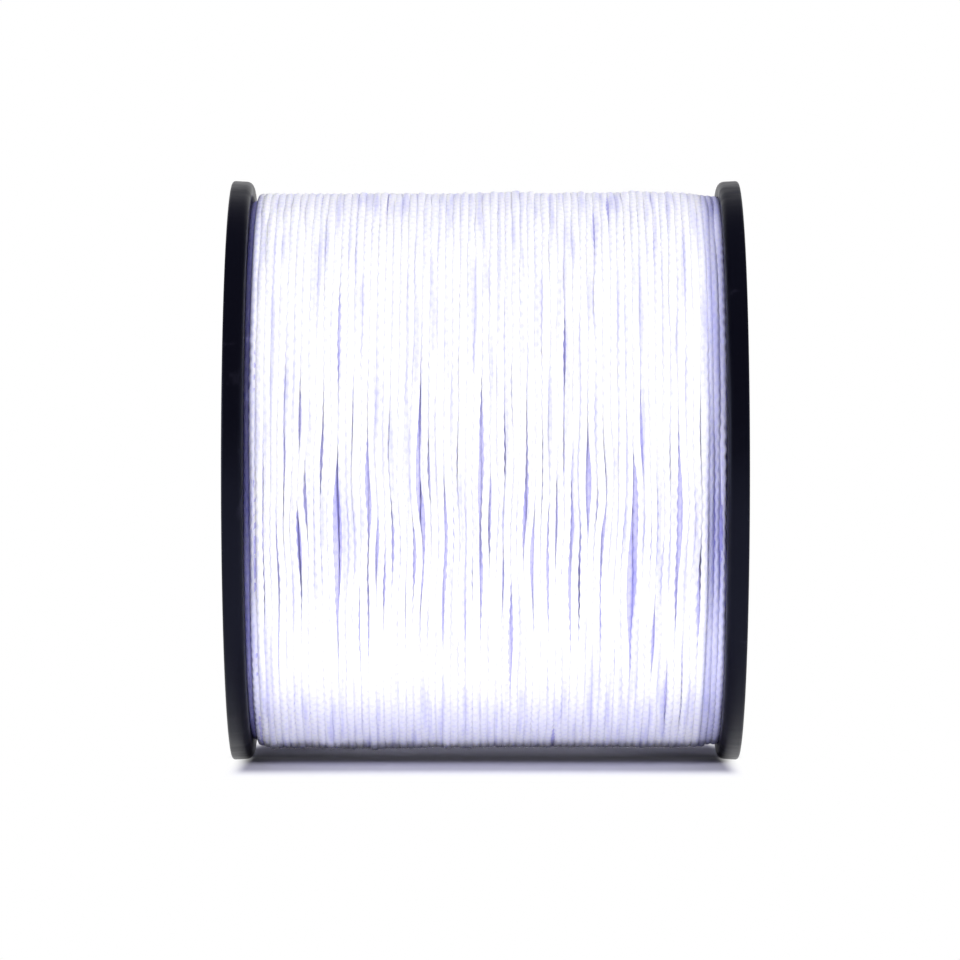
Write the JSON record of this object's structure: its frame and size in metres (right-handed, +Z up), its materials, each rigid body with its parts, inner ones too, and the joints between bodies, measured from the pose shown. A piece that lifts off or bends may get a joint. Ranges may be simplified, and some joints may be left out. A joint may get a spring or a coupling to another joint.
{
  "type": "string reel",
  "caption": "Moulded reel with two rimmed flanges on a drum and a through bore, closely wound with thin white racket string.",
  "frame": {"origin": "middle of the spindle bore, halfway between the flanges", "axes": "+X along the reel's axis towards the flange that holds the string's outer end, +Z up; the reel stands on its rims 52.5 mm below the origin"},
  "size_m": [0.0914, 0.105, 0.105],
  "materials": {
    "reel_plastic": "moulded, satin gloss",
    "string": "braided nylon, soft sheen",
    "label_paper": "uncoated paper"
  },
  "bodies": {
    "root": {"left_flange": "reel_plastic", "right_flange": "reel_plastic", "drum": "reel_plastic", "hub_tube": "reel_plastic", "left_label": "label_paper", "right_label": "label_paper", "string_core": "string", "string_outer_layer": "string", "string_start": "string", "string_tail": "string"}
  },
  "joints": []
}
